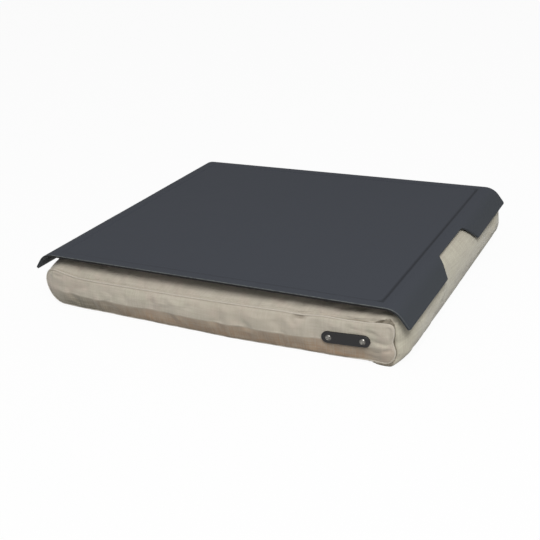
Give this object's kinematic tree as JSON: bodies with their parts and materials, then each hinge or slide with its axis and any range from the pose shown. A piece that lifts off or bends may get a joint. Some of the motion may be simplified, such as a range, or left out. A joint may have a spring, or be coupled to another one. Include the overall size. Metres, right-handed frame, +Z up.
{
  "type": "lap tray with cushion",
  "caption": "Flat lap tray with down-curved, notched ends on a low fabric cushion filled with beads, with a zip across its rear.",
  "frame": {"origin": "on the floor, at the middle of the tray's footprint", "axes": "+X to the right along the tray's long side, +Y to the back (the zip's side), +Z up through the tray"},
  "size_m": [0.4592, 0.3859, 0.065],
  "materials": {
    "tray": "satin",
    "hook_and_loop": "matte",
    "cover": "matte",
    "liner": "matte",
    "beads": "matte",
    "label": "satin",
    "rivet": "satin",
    "zip_tape": "matte",
    "zip_teeth": "satin",
    "zip_metal": "satin"
  },
  "bodies": {
    "cushion": {"loop_strip_left": "hook_and_loop", "loop_strip_right": "hook_and_loop", "cover_wrap_panel": "cover", "cover_front_panel": "cover", "cover_rear_panel_upper": "cover", "cover_rear_panel_lower": "cover", "inner_bag": "liner", "bead_fill": "beads", "label_tag": "label", "label_rivets": "rivet", "rivet_washers": "rivet", "zip_tape_upper": "zip_tape", "zip_tape_lower": "zip_tape", "zip_teeth_upper": "zip_teeth", "zip_teeth_lower": "zip_teeth", "zip_top_stops": "zip_teeth", "zip_bottom_stop": "zip_teeth"},
    "tray": {"tray_shell": "tray", "hook_strip_left": "hook_and_loop", "hook_strip_right": "hook_and_loop"},
    "slider": {"zip_slider": "zip_metal"},
    "pull": {"zip_pull": "zip_metal"}
  },
  "joints": [
    {"name": "tray_lift", "type": "slide", "parent": "cushion", "child": "tray", "axis": [0, 0, 1], "range_m": [0, 0.06]},
    {"name": "slider_travel", "type": "slide", "parent": "cushion", "child": "slider", "axis": [1, 0, 0], "range_m": [0, 0.3304], "deforming": ["zip_teeth_upper", "zip_teeth_lower"]},
    {"name": "pull_swing", "type": "hinge", "parent": "slider", "child": "pull", "pos_m": [-0.1652, 0.1892, 0.0225], "axis": [0, 0, 1], "range_deg": [0, 180]}
  ]
}
